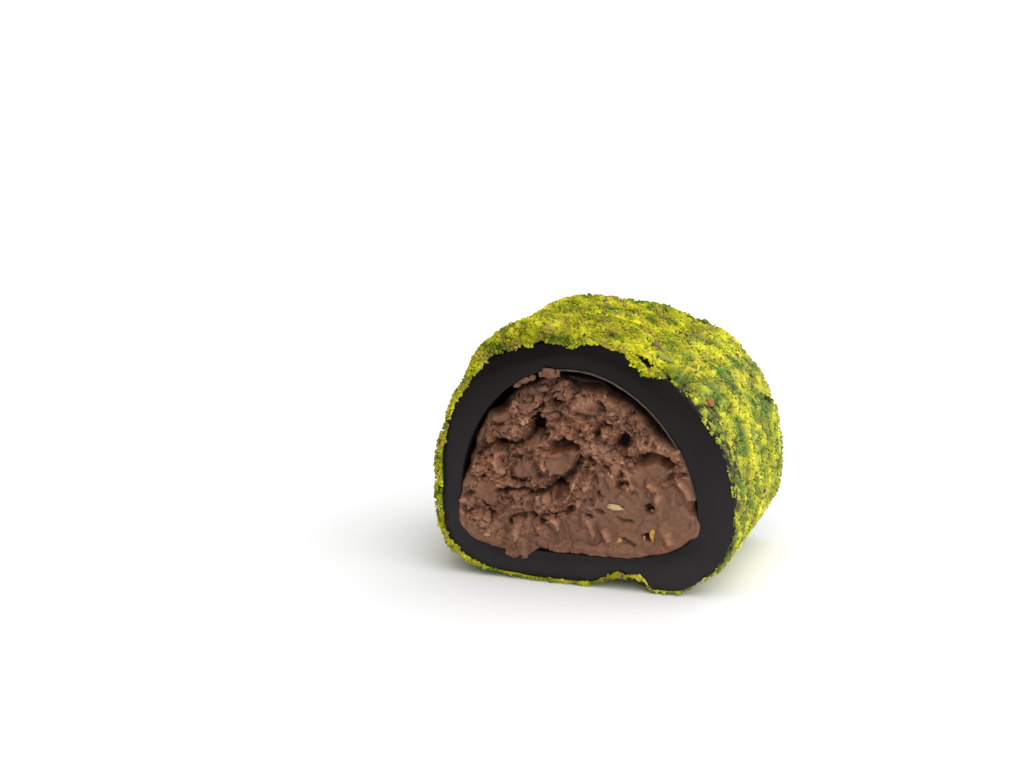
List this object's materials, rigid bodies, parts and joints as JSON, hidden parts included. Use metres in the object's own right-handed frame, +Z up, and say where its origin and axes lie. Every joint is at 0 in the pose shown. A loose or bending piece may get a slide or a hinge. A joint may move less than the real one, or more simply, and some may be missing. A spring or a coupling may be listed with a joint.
{
  "type": "turkish delight",
  "caption": "Cut piece of a rolled sweet: chocolate cream in a D-shaped ring of dark jelly, coated with chopped pistachio, flat underneath, with a seam under it and cut ends.",
  "frame": {"origin": "under the middle of the piece, on the surface that it rests on", "axes": "+Z up, +X across the roll to the right of the front cut face, +Y along the roll from the front cut face to the back one"},
  "size_m": [0.043, 0.0286, 0.035],
  "materials": {
    "dark_jelly": "satin, near-black starch jelly, smooth where it is cut",
    "chocolate_cream": "torn and crumbly milk chocolate brown, smeared at its foot",
    "chopped_pistachio": "matte yellow-green crumbs with darker green and purple-brown bits"
  },
  "bodies": {
    "root": {"lokum_shell": "dark_jelly", "chocolate_filling": "chocolate_cream", "pistachio_coat": "chopped_pistachio"}
  },
  "joints": []
}
